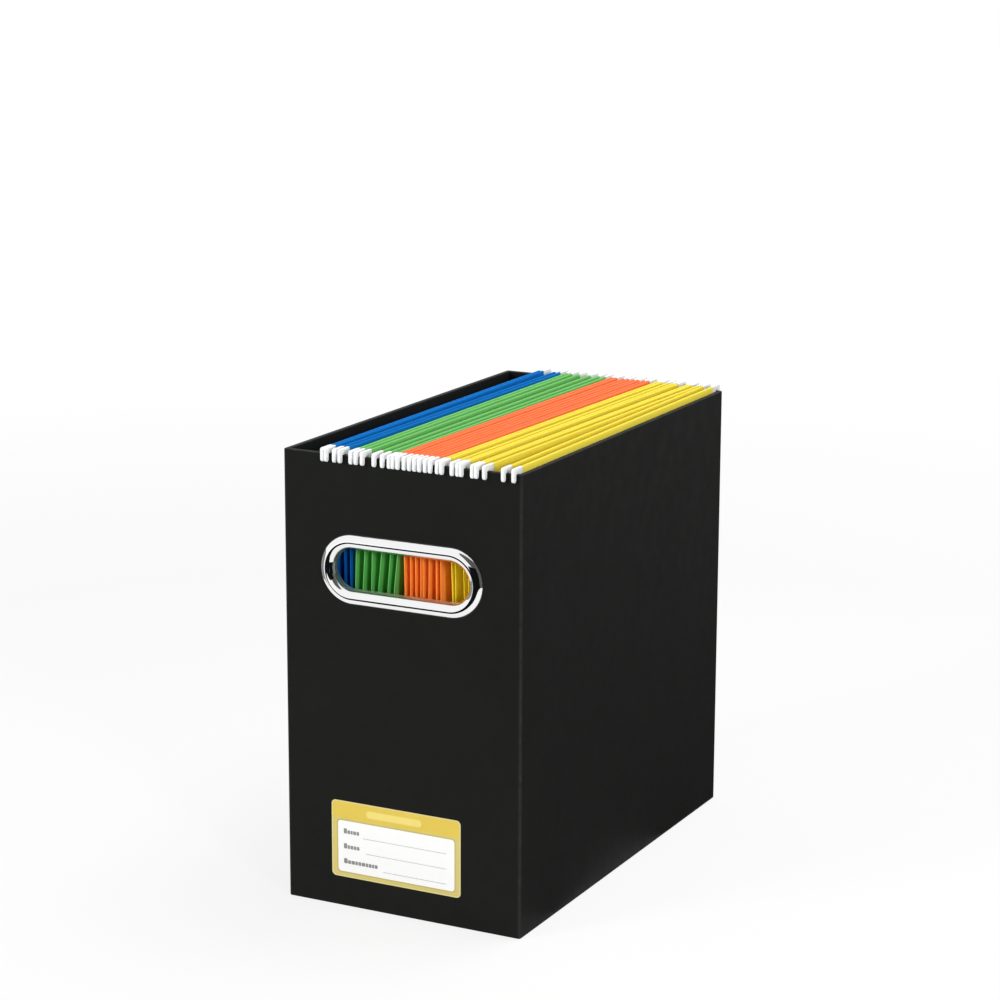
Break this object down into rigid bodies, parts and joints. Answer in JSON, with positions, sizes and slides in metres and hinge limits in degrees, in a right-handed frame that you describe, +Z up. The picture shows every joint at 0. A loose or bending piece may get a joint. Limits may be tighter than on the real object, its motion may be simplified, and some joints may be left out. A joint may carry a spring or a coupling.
{
  "type": "file box",
  "caption": "Rigid black portable file box with a metal-edged hand slot in each end, a label, and coloured hanging folders hooked over its rim.",
  "frame": {"origin": "middle of the footprint, on the surface that the box stands on", "axes": "+X to the right as seen from the labelled front, +Y from the front to the back, +Z up"},
  "size_m": [0.172, 0.324, 0.308],
  "materials": {
    "grey_board": "raw compressed grey board",
    "black_wrap": "matte black covering with a fine grain",
    "base_paper": "matte black paper",
    "lining_paper": "matte pale grey paper",
    "chrome": "polished chrome plate",
    "washer_steel": "bright plated steel",
    "label_paper": "printed gold and white adhesive label",
    "card_blue": "smooth dyed card",
    "card_green": "smooth dyed card",
    "card_orange": "smooth dyed card",
    "card_yellow": "smooth dyed card",
    "strip_steel": "plain rolled steel strip",
    "tip_plastic": "white moulded plastic"
  },
  "bodies": {
    "box": {"front_board": "grey_board", "back_board": "grey_board", "left_board": "grey_board", "right_board": "grey_board", "base_board": "grey_board", "outer_wrap": "black_wrap", "base_wrap": "base_paper", "wall_lining": "lining_paper", "base_lining": "lining_paper", "front_handle": "chrome", "back_handle": "chrome", "handle_washers": "washer_steel", "label": "label_paper"},
    "folder_01": {"folder_01_right_leaf": "card_blue", "folder_01_right_rod": "strip_steel", "folder_01_right_tips": "tip_plastic"},
    "folder_01_leaf": {"folder_01_left_leaf": "card_blue", "folder_01_left_rod": "strip_steel", "folder_01_left_tips": "tip_plastic"},
    "folder_02": {"folder_02_sheet": "card_blue", "folder_02_rods": "strip_steel", "folder_02_tips": "tip_plastic"},
    "folder_03": {"folder_03_sheet": "card_green", "folder_03_rods": "strip_steel", "folder_03_tips": "tip_plastic"},
    "folder_04": {"folder_04_sheet": "card_green", "folder_04_rods": "strip_steel", "folder_04_tips": "tip_plastic"},
    "folder_05": {"folder_05_sheet": "card_green", "folder_05_rods": "strip_steel", "folder_05_tips": "tip_plastic"},
    "folder_06": {"folder_06_sheet": "card_orange", "folder_06_rods": "strip_steel", "folder_06_tips": "tip_plastic"},
    "folder_07": {"folder_07_sheet": "card_orange", "folder_07_rods": "strip_steel", "folder_07_tips": "tip_plastic"},
    "folder_08": {"folder_08_sheet": "card_orange", "folder_08_rods": "strip_steel", "folder_08_tips": "tip_plastic"},
    "folder_09": {"folder_09_sheet": "card_orange", "folder_09_rods": "strip_steel", "folder_09_tips": "tip_plastic"},
    "folder_10": {"folder_10_sheet": "card_yellow", "folder_10_rods": "strip_steel", "folder_10_tips": "tip_plastic"},
    "folder_11": {"folder_11_sheet": "card_yellow", "folder_11_rods": "strip_steel", "folder_11_tips": "tip_plastic"},
    "folder_12": {"folder_12_sheet": "card_yellow", "folder_12_rods": "strip_steel", "folder_12_tips": "tip_plastic"},
    "folder_13": {"folder_13_sheet": "card_yellow", "folder_13_rods": "strip_steel", "folder_13_tips": "tip_plastic"},
    "folder_14": {"folder_14_sheet": "card_yellow", "folder_14_rods": "strip_steel", "folder_14_tips": "tip_plastic"}
  },
  "joints": [
    {"name": "folder_01_lift", "type": "slide", "parent": "box", "child": "folder_01", "axis": [0, 0, 1], "range_m": [0, 0.245]},
    {"name": "folder_02_lift", "type": "slide", "parent": "box", "child": "folder_02", "axis": [0, 0, 1], "range_m": [0, 0.245]},
    {"name": "folder_03_lift", "type": "slide", "parent": "box", "child": "folder_03", "axis": [0, 0, 1], "range_m": [0, 0.245]},
    {"name": "folder_04_lift", "type": "slide", "parent": "box", "child": "folder_04", "axis": [0, 0, 1], "range_m": [0, 0.245]},
    {"name": "folder_05_lift", "type": "slide", "parent": "box", "child": "folder_05", "axis": [0, 0, 1], "range_m": [0, 0.245]},
    {"name": "folder_06_lift", "type": "slide", "parent": "box", "child": "folder_06", "axis": [0, 0, 1], "range_m": [0, 0.245]},
    {"name": "folder_07_lift", "type": "slide", "parent": "box", "child": "folder_07", "axis": [0, 0, 1], "range_m": [0, 0.245]},
    {"name": "folder_08_lift", "type": "slide", "parent": "box", "child": "folder_08", "axis": [0, 0, 1], "range_m": [0, 0.245]},
    {"name": "folder_09_lift", "type": "slide", "parent": "box", "child": "folder_09", "axis": [0, 0, 1], "range_m": [0, 0.245]},
    {"name": "folder_10_lift", "type": "slide", "parent": "box", "child": "folder_10", "axis": [0, 0, 1], "range_m": [0, 0.245]},
    {"name": "folder_11_lift", "type": "slide", "parent": "box", "child": "folder_11", "axis": [0, 0, 1], "range_m": [0, 0.245]},
    {"name": "folder_12_lift", "type": "slide", "parent": "box", "child": "folder_12", "axis": [0, 0, 1], "range_m": [0, 0.245]},
    {"name": "folder_13_lift", "type": "slide", "parent": "box", "child": "folder_13", "axis": [0, 0, 1], "range_m": [0, 0.245]},
    {"name": "folder_14_lift", "type": "slide", "parent": "box", "child": "folder_14", "axis": [0, 0, 1], "range_m": [0, 0.245]},
    {"name": "folder_01_open", "type": "hinge", "parent": "folder_01", "child": "folder_01_leaf", "pos_m": [-0.0551, 0, 0.07325], "axis": [0, -1, 0], "range_deg": [0, 3.5]}
  ]
}
